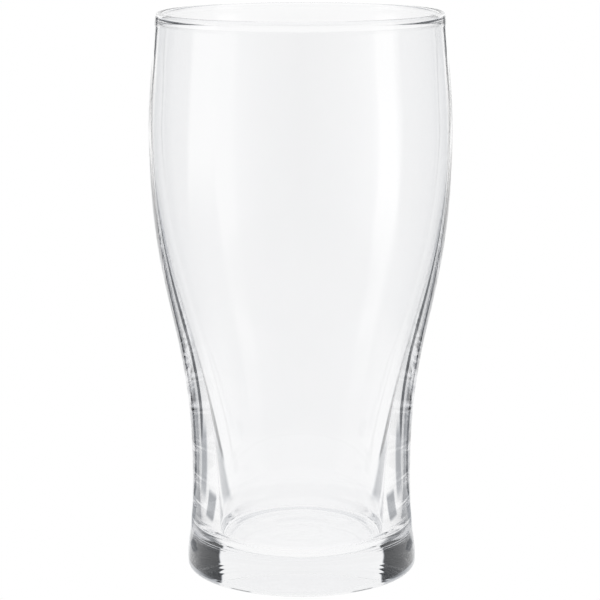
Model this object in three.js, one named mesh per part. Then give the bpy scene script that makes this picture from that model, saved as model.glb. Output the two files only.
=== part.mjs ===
// Tulip pint glass: one piece of toughened soda-lime glass, pressed and then blown.
// Millimetres, +Z up, the table plane is z = 0 and the glass stands on the Z axis.
import * as THREE from "three";

// Overall sizes of the outside.
const HEIGHT = 160;
const FOOT_RADIUS = 33.1;
const SHOULDER_RADIUS = 32.3;
const WAIST_RADIUS = 31.5;
const BELLY_RADIUS = 42.7;
const RIM_RADIUS = 40.4;

// Heights at which the outside changes character.
const FOOT_WIDEST_HEIGHT = 3;
const SHOULDER_HEIGHT = 10.6;
const WAIST_HEIGHT = 28;
const BELLY_HEIGHT = 126;

// The underside: a flat ring to stand on, around a shallow hollow.
const FOOT_EDGE_ROUNDING = 1.5;
const BEARING_RING_WIDTH = 7;
const HOLLOW_DEPTH = 0.5;

// The inside: a thick floor, a heavy lower wall and a thin upper wall.
const FLOOR_HEIGHT = 8.6;
const FLOOR_CORNER_ROUNDING = 5;
const INNER_WALL_FOOT_RADIUS = 24.3;
const INNER_WALL_LEAN = 1.2;
const UPPER_WALL = 1.2;
const LIP_THICKNESS = 1.9;
const LIP_BLEND_BELOW_RIM = 3;
const LIP_BLEND_ABOVE_BELLY = 12;

// How far each bend's handles reach, as a share of the height between the bend's two ends.
const FLARE_FOOT_REACH = 0.45;
const FLARE_SHOULDER_REACH = 0.3;
const SHOULDER_REACH = 0.3;
const LOWER_WAIST_REACH = 0.4;
const UPPER_WAIST_REACH = 0.46;
const LOWER_BELLY_REACH = 0.5;
const UPPER_BELLY_REACH = 0.3;
const RIM_REACH = 0.35;
const INNER_FOOT_REACH = 0.5;
const INNER_BELLY_REACH = 0.42;

// How much of a bend's change of radius its sloping handle still has to go.
const FLARE_SLOPE = 0.25;
const SHOULDER_SLOPE = 0.4;
const RIM_SLOPE = 0.4;
const LIP_SLOPE = 0.2;

// Fineness of the faceted solid.
const SIDES = 64;
const WALL_STEPS = 12;
const SHORT_STEPS = 4;
const LIP_STEPS = 6;

// The points of an arc about a centre, from one angle to another, in degrees from the radius.
function arc(centreRadius, centreHeight, radius, fromDegrees, toDegrees, steps) {
  const points = [];
  for (let step = 0; step <= steps; step += 1) {
    const angle = THREE.MathUtils.degToRad(
      THREE.MathUtils.lerp(fromDegrees, toDegrees, step / steps),
    );
    points.push(
      new THREE.Vector2(
        centreRadius + radius * Math.cos(angle),
        centreHeight + radius * Math.sin(angle),
      ),
    );
  }
  return points;
}

// A bend that leaves one point and reaches the next along the two given handle points.
function bend(start, startHandle, endHandle, end, steps) {
  const curve = new THREE.CubicBezierCurve(
    new THREE.Vector2(...start),
    new THREE.Vector2(...startHandle),
    new THREE.Vector2(...endHandle),
    new THREE.Vector2(...end),
  );
  return curve.getPoints(steps);
}

// Joins stretches end to end and leaves out a point that repeats the one before it.
function join(...stretches) {
  const closest = 1e-6;
  const joined = [];
  for (const point of stretches.flat()) {
    const last = joined[joined.length - 1];
    if (last === undefined || last.distanceTo(point) > closest) {
      joined.push(point);
    }
  }
  return joined;
}

// Underside, from the axis out: the hollow's shallow dome, then the flat bearing ring.
function underside() {
  const ringOuter = FOOT_RADIUS - FOOT_EDGE_ROUNDING;
  const ringInner = ringOuter - BEARING_RING_WIDTH;
  const domeRadius = (ringInner ** 2 + HOLLOW_DEPTH ** 2) / (2 * HOLLOW_DEPTH);
  const domeHalfAngle = THREE.MathUtils.radToDeg(Math.asin(ringInner / domeRadius));
  const domeCentre = HOLLOW_DEPTH - domeRadius;
  const dome = arc(0, domeCentre, domeRadius, 90, 90 - domeHalfAngle, SHORT_STEPS);
  return join(dome, [new THREE.Vector2(ringOuter, 0)]);
}

// Foot: the rounded lower edge, then the flare that draws in to the shoulder crease.
function footOutside() {
  const edgeCentre = FOOT_RADIUS - FOOT_EDGE_ROUNDING;
  const flareHeight = SHOULDER_HEIGHT - FOOT_WIDEST_HEIGHT;
  const edge = arc(edgeCentre, FOOT_EDGE_ROUNDING, FOOT_EDGE_ROUNDING, -90, 0, SHORT_STEPS);
  const flare = bend(
    [FOOT_RADIUS, FOOT_WIDEST_HEIGHT],
    [FOOT_RADIUS, FOOT_WIDEST_HEIGHT + flareHeight * FLARE_FOOT_REACH],
    [
      SHOULDER_RADIUS + (FOOT_RADIUS - SHOULDER_RADIUS) * FLARE_SLOPE,
      SHOULDER_HEIGHT - flareHeight * FLARE_SHOULDER_REACH,
    ],
    [SHOULDER_RADIUS, SHOULDER_HEIGHT],
    SHORT_STEPS,
  );
  return join(edge, flare);
}

// Body: from the shoulder in to the waist, out to the belly and in again to the rim.
function bodyOutside() {
  const waistRise = WAIST_HEIGHT - SHOULDER_HEIGHT;
  const bellyRise = BELLY_HEIGHT - WAIST_HEIGHT;
  const rimRise = HEIGHT - BELLY_HEIGHT;
  const lipCentre = HEIGHT - LIP_THICKNESS / 2;
  const shoulder = bend(
    [SHOULDER_RADIUS, SHOULDER_HEIGHT],
    [
      WAIST_RADIUS + (SHOULDER_RADIUS - WAIST_RADIUS) * SHOULDER_SLOPE,
      SHOULDER_HEIGHT + waistRise * SHOULDER_REACH,
    ],
    [WAIST_RADIUS, WAIST_HEIGHT - waistRise * LOWER_WAIST_REACH],
    [WAIST_RADIUS, WAIST_HEIGHT],
    SHORT_STEPS,
  );
  const rise = bend(
    [WAIST_RADIUS, WAIST_HEIGHT],
    [WAIST_RADIUS, WAIST_HEIGHT + bellyRise * UPPER_WAIST_REACH],
    [BELLY_RADIUS, BELLY_HEIGHT - bellyRise * LOWER_BELLY_REACH],
    [BELLY_RADIUS, BELLY_HEIGHT],
    WALL_STEPS,
  );
  const closing = bend(
    [BELLY_RADIUS, BELLY_HEIGHT],
    [BELLY_RADIUS, BELLY_HEIGHT + rimRise * UPPER_BELLY_REACH],
    [RIM_RADIUS + (BELLY_RADIUS - RIM_RADIUS) * RIM_SLOPE, HEIGHT - rimRise * RIM_REACH],
    [RIM_RADIUS, lipCentre],
    SHORT_STEPS,
  );
  return join(shoulder, rise, closing);
}

// Lip: the fire-polished bead over the top edge.
function lip() {
  const beadRadius = LIP_THICKNESS / 2;
  return arc(RIM_RADIUS - beadRadius, HEIGHT - beadRadius, beadRadius, 0, 180, LIP_STEPS);
}

// Inside, from the lip down: thin upper wall, heavy lower wall, rounded corner and floor.
function inside() {
  const lipInner = RIM_RADIUS - LIP_THICKNESS;
  const lipCentre = HEIGHT - LIP_THICKNESS / 2;
  const bellyInner = BELLY_RADIUS - UPPER_WALL;
  const footInner = INNER_WALL_FOOT_RADIUS;
  const cornerTop = FLOOR_HEIGHT + FLOOR_CORNER_ROUNDING;
  const wallRise = BELLY_HEIGHT - cornerTop;
  const closing = bend(
    [lipInner, lipCentre],
    [
      lipInner + (LIP_THICKNESS - UPPER_WALL) * (1 - LIP_SLOPE),
      lipCentre - LIP_BLEND_BELOW_RIM,
    ],
    [bellyInner, BELLY_HEIGHT + LIP_BLEND_ABOVE_BELLY],
    [bellyInner, BELLY_HEIGHT],
    SHORT_STEPS,
  );
  const wall = bend(
    [bellyInner, BELLY_HEIGHT],
    [bellyInner, BELLY_HEIGHT - wallRise * INNER_BELLY_REACH],
    [footInner + INNER_WALL_LEAN, cornerTop + wallRise * INNER_FOOT_REACH],
    [footInner, cornerTop],
    WALL_STEPS,
  );
  const corner = arc(
    footInner - FLOOR_CORNER_ROUNDING,
    cornerTop,
    FLOOR_CORNER_ROUNDING,
    0,
    -90,
    SHORT_STEPS,
  );
  return join(closing, wall, corner, [new THREE.Vector2(0, FLOOR_HEIGHT)]);
}

// The whole outline turned about the Z axis.
function glassBody() {
  const outline = join(underside(), footOutside(), bodyOutside(), lip(), inside());
  const geometry = new THREE.LatheGeometry(outline, SIDES);
  geometry.rotateX(Math.PI / 2);
  const material = new THREE.MeshStandardMaterial({
    color: 0xeef3f2,
    roughness: 0.02,
    metalness: 0,
    transparent: true,
    opacity: 0.25,
  });
  const mesh = new THREE.Mesh(geometry, material);
  mesh.name = "glass_body";
  return mesh;
}

const pintGlass = new THREE.Group();
pintGlass.name = "pint_glass";
pintGlass.add(glassBody());

export default pintGlass;
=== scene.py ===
import math

import bpy
import numpy as np
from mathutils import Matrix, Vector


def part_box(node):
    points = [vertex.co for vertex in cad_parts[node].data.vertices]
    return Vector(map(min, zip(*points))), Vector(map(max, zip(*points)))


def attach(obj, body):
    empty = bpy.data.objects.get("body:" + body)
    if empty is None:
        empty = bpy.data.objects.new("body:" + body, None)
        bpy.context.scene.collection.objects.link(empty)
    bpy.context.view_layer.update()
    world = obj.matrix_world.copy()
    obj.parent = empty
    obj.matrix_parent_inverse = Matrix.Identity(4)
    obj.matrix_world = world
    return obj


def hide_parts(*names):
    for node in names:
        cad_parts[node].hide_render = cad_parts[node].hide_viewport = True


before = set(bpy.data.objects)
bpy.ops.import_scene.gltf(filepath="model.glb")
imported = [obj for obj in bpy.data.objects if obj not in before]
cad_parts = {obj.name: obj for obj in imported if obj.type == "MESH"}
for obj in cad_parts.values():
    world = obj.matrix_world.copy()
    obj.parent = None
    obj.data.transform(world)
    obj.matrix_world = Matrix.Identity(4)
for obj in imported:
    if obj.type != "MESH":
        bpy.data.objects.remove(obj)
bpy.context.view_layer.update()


# The glass: one piece of clear toughened soda-lime glass, pressed at the foot and blown above it.
# Its thick floor and heavy lower wall thin out to a light upper wall, and the lip is fire-polished
# to a round bead. It stands on a ring that is stippled all over, around a shallow hollow.

glass_low, glass_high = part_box("glass_body")
height = glass_high[2] - glass_low[2]
belly_radius = (glass_high[0] - glass_low[0]) / 2

foot_radius = 0.0331
shoulder_radius = 0.0323
waist_radius = 0.0315
rim_radius = 0.0404

foot_widest_height = 0.003
shoulder_height = 0.0106
waist_height = 0.028
belly_height = 0.126

foot_edge_rounding = 0.0015
bearing_ring_width = 0.007
hollow_depth = 0.0005
stipple_count = 64
stipple_pitch = 0.0023
stipple_depth = 0.000004

groove_count = 3
groove_pitch = 0.0006
groove_depth = 0.00002

floor_height = 0.0086
floor_corner_rounding = 0.005
floor_ripple_pitch = 0.0064
floor_ripple_depth = 0.00004
inner_foot_radius = 0.0243
inner_wall_lean = 0.0012
upper_wall = 0.0012
lip_thickness = 0.0019
lip_undercut_degrees = 40
lip_neck_depth = 0.0042

# How far each bend's handles reach, as a share of the height between the bend's two ends.
flare_foot_reach = 0.45
flare_shoulder_reach = 0.3
shoulder_reach = 0.3
lower_waist_reach = 0.4
upper_waist_reach = 0.46
lower_belly_reach = 0.5
upper_belly_reach = 0.3
rim_reach = 0.35
inner_foot_reach = 0.5
inner_belly_reach = 0.42
neck_reach = 0.35

# How much of a bend's change of radius its sloping handle still has to go.
flare_slope = 0.25
shoulder_slope = 0.4
rim_slope = 0.4

sides = 256
long_steps = 48
short_steps = 16
groove_steps = 12
curve_steps = 200


def arc(centre_radius, centre_height, radius, from_degrees, to_degrees, steps):
    """Points at equal angles round a centre: centre plus radius times cosine and sine."""
    angle = np.radians(np.linspace(from_degrees, to_degrees, steps + 1))
    return np.column_stack(
        (centre_radius + radius * np.cos(angle), centre_height + radius * np.sin(angle))
    )


def bend(start, start_handle, end_handle, end, steps):
    """A cubic Bezier curve: the four points weighted by the cubic Bernstein polynomials."""
    t = np.linspace(0, 1, steps + 1)[:, None]
    weights = ((1 - t) ** 3, 3 * t * (1 - t) ** 2, 3 * t**2 * (1 - t), t**3)
    corners = (start, start_handle, end_handle, end)
    return sum(weight * np.array(corner) for weight, corner in zip(weights, corners))


def join(stretches):
    """The stretches end to end, without the points that repeat the one before them."""
    closest = 1e-8
    points = np.vstack(stretches)
    step = np.linalg.norm(np.diff(points, axis=0), axis=1)
    return points[np.concatenate(([True], step > closest))]


def underside():
    """A shallow dome over the middle, as an arc about a centre far below, then the flat ring."""
    ring_outer = foot_radius - foot_edge_rounding
    ring_inner = ring_outer - bearing_ring_width
    dome_radius = (ring_inner**2 + hollow_depth**2) / (2 * hollow_depth)
    half_angle = math.degrees(math.asin(ring_inner / dome_radius))
    dome = arc(0, hollow_depth - dome_radius, dome_radius, 90, 90 - half_angle, short_steps)
    ring_radius = np.linspace(ring_inner, ring_outer, short_steps + 1)
    return [dome, np.column_stack((ring_radius, np.zeros_like(ring_radius)))]


def foot_edge():
    """The rounded lower edge, a quarter circle."""
    centre = foot_radius - foot_edge_rounding
    return [arc(centre, foot_edge_rounding, foot_edge_rounding, -90, 0, short_steps)]


def grooved_shoulder():
    """The flare of the foot and the shoulder above it, two bends read at heights that lie closer
    together round the crease. Each groove of the crease is a squared sine of the height."""
    flare_rise = shoulder_height - foot_widest_height
    waist_rise = waist_height - shoulder_height
    flare = bend(
        (foot_radius, foot_widest_height),
        (foot_radius, foot_widest_height + flare_rise * flare_foot_reach),
        (
            shoulder_radius + (foot_radius - shoulder_radius) * flare_slope,
            shoulder_height - flare_rise * flare_shoulder_reach,
        ),
        (shoulder_radius, shoulder_height),
        curve_steps,
    )
    shoulder = bend(
        (shoulder_radius, shoulder_height),
        (
            waist_radius + (shoulder_radius - waist_radius) * shoulder_slope,
            shoulder_height + waist_rise * shoulder_reach,
        ),
        (waist_radius, waist_height - waist_rise * lower_waist_reach),
        (waist_radius, waist_height),
        curve_steps,
    )
    curve = join([flare, shoulder])
    grooves_bottom = shoulder_height - groove_pitch * groove_count / 2
    grooves_top = shoulder_height + groove_pitch * groove_count / 2
    level = np.concatenate(
        (
            np.linspace(foot_widest_height, grooves_bottom, short_steps, endpoint=False),
            np.linspace(grooves_bottom, grooves_top, groove_steps * groove_count, endpoint=False),
            np.linspace(grooves_top, waist_height, short_steps + 1),
        )
    )
    groove = np.sin(np.pi * (level - grooves_bottom) / groove_pitch) ** 2
    within = (level > grooves_bottom) & (level < grooves_top)
    radius = np.interp(level, curve[:, 1], curve[:, 0]) - groove_depth * groove * within
    return [np.column_stack((radius, level))]


def body_outside():
    """Waist to belly and belly to rim, each one cubic bend."""
    belly_rise = belly_height - waist_height
    rim_rise = height - belly_height
    rise = bend(
        (waist_radius, waist_height),
        (waist_radius, waist_height + belly_rise * upper_waist_reach),
        (belly_radius, belly_height - belly_rise * lower_belly_reach),
        (belly_radius, belly_height),
        long_steps,
    )
    closing = bend(
        (belly_radius, belly_height),
        (belly_radius, belly_height + rim_rise * upper_belly_reach),
        (rim_radius + (belly_radius - rim_radius) * rim_slope, height - rim_rise * rim_reach),
        (rim_radius, height - lip_thickness / 2),
        short_steps,
    )
    return [rise, closing]


def lip():
    """The fire-polished bead, an arc over the top edge and a little way back under it inside, and
    the neck that leads from it to the thin wall."""
    bead = lip_thickness / 2
    over_degrees = 180 + lip_undercut_degrees
    over = arc(rim_radius - bead, height - bead, bead, 0, over_degrees, 2 * short_steps)
    undercut = math.radians(lip_undercut_degrees)
    leaving = np.array((math.sin(undercut), -math.cos(undercut)))
    neck_height = height - lip_neck_depth
    rim_rise = height - belly_height
    lean = (belly_radius - rim_radius) * rim_slope / (rim_rise * rim_reach)
    neck_radius = rim_radius + lean * lip_neck_depth - upper_wall
    reach = (over[-1, 1] - neck_height) * neck_reach
    neck = bend(
        over[-1],
        over[-1] + leaving * reach,
        (neck_radius - lean * reach, neck_height + reach),
        (neck_radius, neck_height),
        short_steps,
    )
    return [over, neck]


def inside(neck):
    """From the neck down: the upper wall, the heavy lower wall, the rounded corner and the floor,
    on which rings of a cosine of the radius are left by the plunger."""
    belly_inner = belly_radius - upper_wall
    corner_top = floor_height + floor_corner_rounding
    corner_radius = inner_foot_radius - floor_corner_rounding
    neck_rise = neck[1] - belly_height
    wall_rise = belly_height - corner_top
    closing = bend(
        neck,
        (neck[0] + (belly_inner - neck[0]) * (1 - rim_slope), neck[1] - neck_rise * rim_reach),
        (belly_inner, belly_height + neck_rise * upper_belly_reach),
        (belly_inner, belly_height),
        short_steps,
    )
    wall = bend(
        (belly_inner, belly_height),
        (belly_inner, belly_height - wall_rise * inner_belly_reach),
        (inner_foot_radius + inner_wall_lean, corner_top + wall_rise * inner_foot_reach),
        (inner_foot_radius, corner_top),
        long_steps,
    )
    corner = arc(corner_radius, corner_top, floor_corner_rounding, 0, -90, short_steps)
    floor_radius = np.linspace(corner_radius, 0, long_steps + 1)
    ring = 1 - np.cos(2 * np.pi * (corner_radius - floor_radius) / floor_ripple_pitch)
    floor = np.column_stack((floor_radius, floor_height - floor_ripple_depth * ring / 2))
    return [closing, wall, corner, floor]


def stippled(radius, level, angle):
    """The height of the bearing ring's dimples: a sine round the ring times a sine across it, which
    fades out at both edges of the ring as a squared sine. All of it is at or above the table."""
    ring_outer = foot_radius - foot_edge_rounding
    across = radius - (ring_outer - bearing_ring_width)
    on_ring = (across > 0) & (across < bearing_ring_width) & (level < stipple_depth)
    fade = np.sin(np.pi * across / bearing_ring_width) ** 2
    dimple = np.sin(stipple_count * angle) * np.sin(2 * np.pi * across / stipple_pitch)
    return level + on_ring * fade * stipple_depth * (1 + dimple) / 2


def turned(name, outline):
    """A surface of revolution. A vertex is the outline's radius times cosine and sine of its angle
    round the axis, at the outline's height. Both ends of the outline are on the axis."""
    angle = np.linspace(0, 2 * np.pi, sides, endpoint=False)
    ring = outline[1:-1]
    radius = np.repeat(ring[:, :1], sides, axis=1)
    level = stippled(radius, np.repeat(ring[:, 1:], sides, axis=1), angle)
    body = np.stack((radius * np.cos(angle), radius * np.sin(angle), level), axis=-1)
    ends = np.array(((0, 0, outline[0, 1]), (0, 0, outline[-1, 1])))
    vertices = np.vstack((body.reshape(-1, 3), ends))
    rows = len(ring)
    index = np.arange(rows * sides).reshape(rows, sides)
    after = np.roll(index, -1, axis=1)
    quads = np.stack((index[:-1], after[:-1], after[1:], index[1:]), axis=-1).reshape(-1, 4)
    first = np.full(sides, rows * sides)
    start_fan = np.stack((first, after[0], index[0]), axis=-1)
    end_fan = np.stack((first + 1, index[-1], after[-1]), axis=-1)
    mesh = bpy.data.meshes.new(name)
    faces = quads.tolist() + start_fan.tolist() + end_fan.tolist()
    mesh.from_pydata(vertices.tolist(), [], faces)
    mesh.polygons.foreach_set("use_smooth", np.ones(len(mesh.polygons), dtype=bool))
    mesh.update()
    piece = bpy.data.objects.new(name, mesh)
    bpy.context.scene.collection.objects.link(piece)
    return piece


class Wire:
    """A shader socket that can be added, multiplied and compared like a number. A wire without a
    socket only makes and feeds nodes."""

    def __init__(self, tree, socket=None):
        self.tree = tree
        self.socket = socket

    def feed(self, target, value):
        """Links a wire to a socket, or sets the socket's own value."""
        if isinstance(value, Wire):
            self.tree.links.new(value.socket, target)
        else:
            target.default_value = value

    def node(self, kind, settings, sockets):
        """A new node of one kind: its settings first, then the values or wires of its sockets,
        each by the socket's name or place."""
        made = self.tree.nodes.new(kind)
        for setting, value in settings.items():
            setattr(made, setting, value)
        for label, value in sockets.items():
            self.feed(made.inputs[label], value)
        return made

    def maths(self, operation, first, second):
        """A Math node on two numbers or wires."""
        made = self.node("ShaderNodeMath", {"operation": operation}, {0: first, 1: second})
        return Wire(self.tree, made.outputs[0])

    def __add__(self, other):
        return self.maths("ADD", self, other)

    def __radd__(self, other):
        return self.maths("ADD", other, self)

    def __mul__(self, other):
        return self.maths("MULTIPLY", self, other)

    def __rmul__(self, other):
        return self.maths("MULTIPLY", other, self)

    def __lt__(self, other):
        return self.maths("LESS_THAN", self, other)


def clear_glass():
    """Clear soda-lime glass. The fire-polished body waves very slightly, the pressed foot is a
    little less smooth and holds a few pinhead seeds, and thick glass takes away a little light."""
    wave_scale = 40
    wave_detail = 1.0
    wave_height = 0.000004
    seed_scale = 170
    seed_size = 0.035
    seed_height = 0.00004
    relief_strength = 1.0
    relief_distance = 1.0
    foot_top = 0.0125
    foot_roughness = 0.012
    clear = (1, 1, 1, 1)
    faint = (0.994, 0.995, 0.999, 1)
    refraction = 1.52
    transmission = 1.0
    absorbing = (0.30, 0.31, 0.36, 1)
    absorption = 1.6

    # The places of a Mix node's sockets for colours: the two it takes, and the one it gives.
    first_colour = 6
    second_colour = 7
    mixed_colour = 2

    material = bpy.data.materials.new("clear_glass")
    material.use_nodes = True
    tree = material.node_tree
    start = Wire(tree)
    place = start.node("ShaderNodeTexCoord", {}, {})
    here = Wire(tree, place.outputs["Object"])
    split = start.node("ShaderNodeSeparateXYZ", {}, {"Vector": here})
    pressed = Wire(tree, split.outputs["Z"]) < foot_top
    waves = start.node(
        "ShaderNodeTexNoise", {}, {"Vector": here, "Scale": wave_scale, "Detail": wave_detail}
    )
    wave = Wire(tree, waves.outputs["Fac"])
    cells = start.node("ShaderNodeTexVoronoi", {}, {"Vector": here, "Scale": seed_scale})
    seed = (Wire(tree, cells.outputs["Distance"]) < seed_size) * pressed
    bump = start.node(
        "ShaderNodeBump",
        {},
        {
            "Height": wave * wave_height + seed * seed_height,
            "Strength": relief_strength,
            "Distance": relief_distance,
        },
    )
    tint = start.node(
        "ShaderNodeMix",
        {"data_type": "RGBA"},
        {"Factor": wave, first_colour: clear, second_colour: faint},
    )
    dimming = start.node(
        "ShaderNodeVolumeAbsorption", {}, {"Color": absorbing, "Density": absorption}
    )
    finish = {
        "Base Color": Wire(tree, tint.outputs[mixed_colour]),
        "Roughness": pressed * wave * foot_roughness,
        "Normal": Wire(tree, bump.outputs["Normal"]),
        "IOR": refraction,
        "Transmission Weight": transmission,
    }
    for label, value in finish.items():
        start.feed(tree.nodes["Principled BSDF"].inputs[label], value)
    volume = tree.nodes["Material Output"].inputs["Volume"]
    start.feed(volume, Wire(tree, dimming.outputs["Volume"]))
    return material


lip_stretches = lip()
outline = join(
    underside()
    + foot_edge()
    + grooved_shoulder()
    + body_outside()
    + lip_stretches
    + inside(lip_stretches[-1][-1])
)
glass = turned("tulip_glass", outline)
glass.data.materials.append(clear_glass())
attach(glass, "root")
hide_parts("glass_body")


# The table: a plain white panel that gives off an even light, so nothing casts a shadow on it. Its
# top is a little under the glass, so that air stays between them as it does on a real table.

def staged(name, points, glow):
    """A sheet through a grid of points, rows by columns by three, that gives off light in every
    direction. Its brightness and its colour come from the glow given for each point."""
    rows, columns = points.shape[:2]
    index = np.arange(rows * columns).reshape(rows, columns)
    faces = np.stack((index[:-1, :-1], index[:-1, 1:], index[1:, 1:], index[1:, :-1]), axis=-1)
    mesh = bpy.data.meshes.new(name)
    mesh.from_pydata(points.reshape(-1, 3).tolist(), [], faces.reshape(-1, 4).tolist())
    attribute = mesh.attributes.new("glow", "FLOAT_VECTOR", "POINT")
    attribute.data.foreach_set("vector", np.ascontiguousarray(glow, dtype=np.float32).ravel())
    material = bpy.data.materials.new(name)
    material.use_nodes = True
    tree = material.node_tree
    tree.nodes.remove(tree.nodes["Principled BSDF"])
    start = Wire(tree)
    stored = start.node("ShaderNodeAttribute", {"attribute_name": "glow"}, {})
    light = start.node("ShaderNodeEmission", {}, {"Color": Wire(tree, stored.outputs["Vector"])})
    surface = tree.nodes["Material Output"].inputs["Surface"]
    start.feed(surface, Wire(tree, light.outputs["Emission"]))
    mesh.materials.append(material)
    sheet = bpy.data.objects.new(name, mesh)
    bpy.context.scene.collection.objects.link(sheet)
    return sheet


table_half = 6.0
table_gap = 0.0006
table_across, table_along = np.meshgrid((-table_half, table_half), (-table_half, table_half))
table_points = np.stack((table_across, table_along, np.full((2, 2), -table_gap)), axis=-1)
staged("table", table_points, np.ones((2, 2, 3)))

room_colour = (1, 1, 1, 1)
room_strength = 1.0
room = bpy.data.worlds.new("white_room")
room.use_nodes = True
room_light = room.node_tree.nodes["Background"]
room_light.inputs["Color"].default_value = room_colour
room_light.inputs["Strength"].default_value = room_strength
bpy.context.scene.world = room


# The camera: a long lens a little above the rim, looking a little down at the whole glass. Its
# distance and height are in metres, its tilt and roll in degrees, its lens in millimetres.

camera_distance = 0.61907
camera_height = 0.20239
camera_tilt = 11.36
camera_roll = 0.135
camera_lens = 132.52
camera_sensor = 36

camera_data = bpy.data.cameras.new("camera")
camera_data.sensor_width = camera_sensor
camera_data.lens = camera_lens
camera = bpy.data.objects.new("camera", camera_data)
camera.location = (0, -camera_distance, camera_height)
camera.rotation_euler = (math.radians(90 - camera_tilt), math.radians(camera_roll), 0)
bpy.context.scene.collection.objects.link(camera)
bpy.context.scene.camera = camera


# The light tent: a white backdrop behind the glass, dim cards round the rest with a soft box among
# them on each side of the glass, a dark band above them and a white ceiling. The tent and the mat
# under it stand on a turntable that always faces the camera, and only the glass sees them.

turntable = bpy.data.objects.new("turntable", None)
bpy.context.scene.collection.objects.link(turntable)
facing = turntable.constraints.new("LOCKED_TRACK")
facing.target = camera
facing.track_axis = "TRACK_NEGATIVE_Y"
facing.lock_axis = "LOCK_Z"

tent_radius = 3.0
tent_columns = 721
tent_rows = 181
mat_inner = 0.034
mat_rows = 180
mat_lift = 0.0001
edge_softness = 1.5
backdrop_turn = 34
grey_tint = np.array((0.93, 0.985, 1.07))

# The low cards, from the camera round the left side to the back and on round the right side: the
# angle from the line of sight, to the left if it is negative, and the brightness at it. The soft
# boxes are the two bright stretches.
cards = (
    (-180, 0.25),
    (-150, 0.40),
    (-114, 0.62),
    (-110, 1.15),
    (-90, 1.15),
    (-86, 0.50),
    (-34, 0.60),
    (34, 0.60),
    (86, 0.50),
    (101, 0.50),
    (105, 1.05),
    (120, 1.05),
    (126, 0.65),
    (150, 0.40),
    (180, 0.25),
)
card_turns, card_lights = zip(*cards)

# The dark band over the low cards, and the white ceiling over it, by angle above the table.
band_bottom = 11
band_bottom_softness = 4
band_dark = 0.03
band_dim = 0.28
band_dim_turn = 76
band_dim_softness = 14
ceiling_bottom = 35
ceiling_softness = 12
ceiling_light = 0.9

# The two dark posts at the back, where the dark strips on the mat meet the tent.
post_turns = (18, 27)
post_top = 5
post_softness = 2
post_light = 0.1

# The mat, whose brightness is painted light and shade: how far out it starts to take the light of the
# cards, the painted shade it keeps beside the glass and in front of it, and how little of the soft
# boxes' painted light it takes close to the glass.
far_reach = 0.25
far_softness = 0.8
beside_turn = 52
beside_turn_softness = 16
beside_reach = 0.13
beside_reach_softness = 0.4
beside_light = 0.6
front_turn = 112
front_turn_softness = 30
front_light = 0.45
box_near_light = {"left": 0.5, "right": 0.8}
box_far_light = 1.3
box_reach = 0.55
box_softness = 1.6

# Two patches of painted shade on the mat close to each side of the glass: their distances, their
# angles, the softness of both, and the share of the light that they keep.
painted_shade_patches = (
    ((0.060, 0.094), (40, 55), 0.010, 5, 0.45),
    ((0.050, 0.067), (62, 77), 0.0035, 3, 0.40),
)

# The dark strip on each side: distances along the line of sight, and at each of them the strip's
# distance from the line of sight and half its width.
strip_start = 0.066
strip_softness = 0.006
strip_light = 0.03
strip_stops = (
    (0.05, 0.055, 0.011),
    (0.070, 0.068, 0.012),
    (0.090, 0.088, 0.012),
    (0.118, 0.108, 0.012),
    (0.168, 0.128, 0.012),
    (0.231, 0.157, 0.009),
    (0.45, 0.28, 0.007),
    (0.71, 0.41, 0.018),
    (1.36, 0.63, 0.06),
    (2.54, 1.18, 0.13),
    (3.0, 1.20, 0.13),
)
strip_along, strip_centre, strip_half = zip(*strip_stops)


def step_up(value, edge, softness):
    """0 below the edge and 1 above it, with a smooth cubic rise as wide as the softness."""
    t = np.clip((value - edge) / softness + 0.5, 0, 1)
    return t * t * (3 - 2 * t)


def between(value, edges, softness):
    """1 between two edges and 0 outside them, with a soft edge at both."""
    return step_up(value, edges[0], softness) * (1 - step_up(value, edges[1], softness))


def mixed(first, second, share):
    """The first light where the share is 0, the second where it is 1."""
    return first * (1 - share) + second * share


def low_light(turn):
    """Brightness of the low cards, straight between the places where it is given."""
    return np.interp(turn, card_turns, card_lights)


def behind(turn):
    """1 in front of the backdrop and 0 beside it."""
    return 1 - step_up(abs(turn), backdrop_turn, edge_softness)


def tent_light(turn, rise):
    """Brightness of the tent: the low cards, the dark band and the ceiling, one above the other,
    with the backdrop in front of them all and the dark posts in front of the backdrop."""
    band = mixed(band_dark, band_dim, step_up(abs(turn), band_dim_turn, band_dim_softness))
    stack = mixed(low_light(turn), band, step_up(rise, band_bottom, band_bottom_softness))
    stack = mixed(stack, ceiling_light, step_up(rise, ceiling_bottom, ceiling_softness))
    light = mixed(stack, 1, behind(turn))
    post = between(abs(turn), post_turns, post_softness) * (1 - step_up(rise, post_top, post_softness))
    return mixed(light, light * post_light, post)


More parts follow.
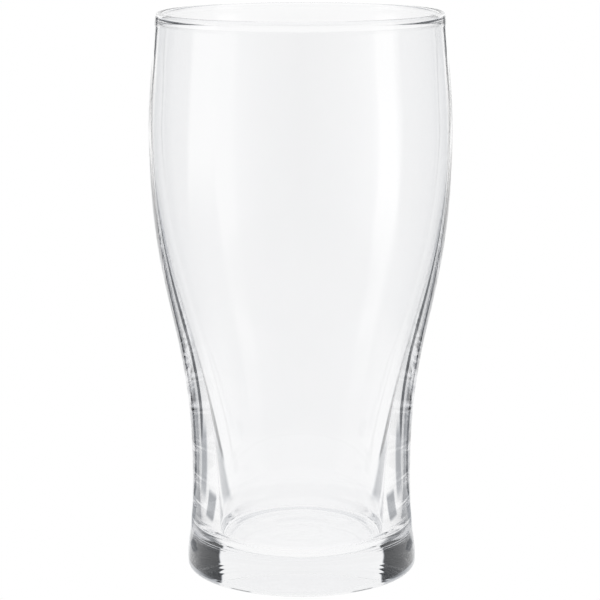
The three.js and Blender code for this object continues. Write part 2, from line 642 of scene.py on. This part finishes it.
def mat_light(turn, reach):
    """Brightness of the mat, which is painted light and shade: white under the backdrop and behind the
    glass, dimmer with painted shade beside the glass and in front of it, as bright as the low cards
    further out, darker with painted shade in the patches and dark along the strips. The near light
    turns into the far light along the logarithm of the distance."""
    side = abs(turn)
    front = step_up(side, front_turn, front_turn_softness)
    beside = step_up(side, beside_turn, beside_turn_softness)
    beside = beside * step_up(np.log(reach / beside_reach), 0, beside_reach_softness)
    # Painted shade: the mat is dimmer beside the glass and in front of it.
    near = mixed(mixed(1, beside_light, beside), front_light, front)
    # Painted light: the soft boxes' light on the mat, weaker close to the glass.
    box_near = np.where(turn < 0, box_near_light["left"], box_near_light["right"])
    box_share = step_up(np.log(reach / box_reach), 0, box_softness)
    far = np.minimum(low_light(turn), mixed(box_near, box_far_light, box_share))
    light = mixed(near, far, step_up(np.log(reach / far_reach), 0, far_softness))
    light = mixed(light, 1, behind(turn))
    # Painted shade: each patch keeps only a share of the mat's light next to the glass.
    for reaches, turns, reach_softness, turn_softness, kept in painted_shade_patches:
        shade_mask = between(reach, reaches, reach_softness) * between(side, turns, turn_softness)
        light = mixed(light, light * kept, shade_mask)
    across = reach * np.sin(np.radians(side))
    along = reach * np.cos(np.radians(side))
    off_centre = abs(across - np.interp(along, strip_along, strip_centre))
    half = np.interp(along, strip_along, strip_half)
    strip = 1 - step_up(off_centre, half, strip_softness)
    return mixed(light, strip_light, strip * step_up(along, strip_start, strip_softness))


def lit(name, points, glow):
    """A sheet on the turntable that only the glass sees, white where it is bright and a slightly
    blue grey where it is dim."""
    brightness = np.clip(glow, 0, None)[..., None]
    whiteness = np.clip(brightness, 0, 1)
    colour = mixed(grey_tint, 1, whiteness)
    sheet = staged(name, points, brightness * colour)
    sheet.visible_camera = False
    sheet.parent = turntable


turn, rise = np.meshgrid(np.linspace(-180, 180, tent_columns), np.linspace(0, 90, tent_rows))
tent_points = tent_radius * np.stack(
    (
        np.cos(np.radians(rise)) * np.sin(np.radians(turn)),
        np.cos(np.radians(rise)) * np.cos(np.radians(turn)),
        np.sin(np.radians(rise)),
    ),
    axis=-1,
)
lit("tent", tent_points, tent_light(turn, rise))

reaches = np.geomspace(mat_inner, tent_radius, mat_rows)
turn, reach = np.meshgrid(np.linspace(-180, 180, tent_columns), reaches)
mat_points = np.stack(
    (
        reach * np.sin(np.radians(turn)),
        reach * np.cos(np.radians(turn)),
        np.full_like(turn, mat_lift - table_gap),
    ),
    axis=-1,
)
lit("mat", mat_points, mat_light(turn, reach))


# What the view needs: true whites, and enough bounces for the light that is caught in the heavy
# lower wall.

bounces = 128
bpy.context.scene.view_settings.view_transform = "Standard"
bpy.context.scene.cycles.max_bounces = bounces
bpy.context.scene.cycles.glossy_bounces = bounces
bpy.context.scene.cycles.transmission_bounces = bounces
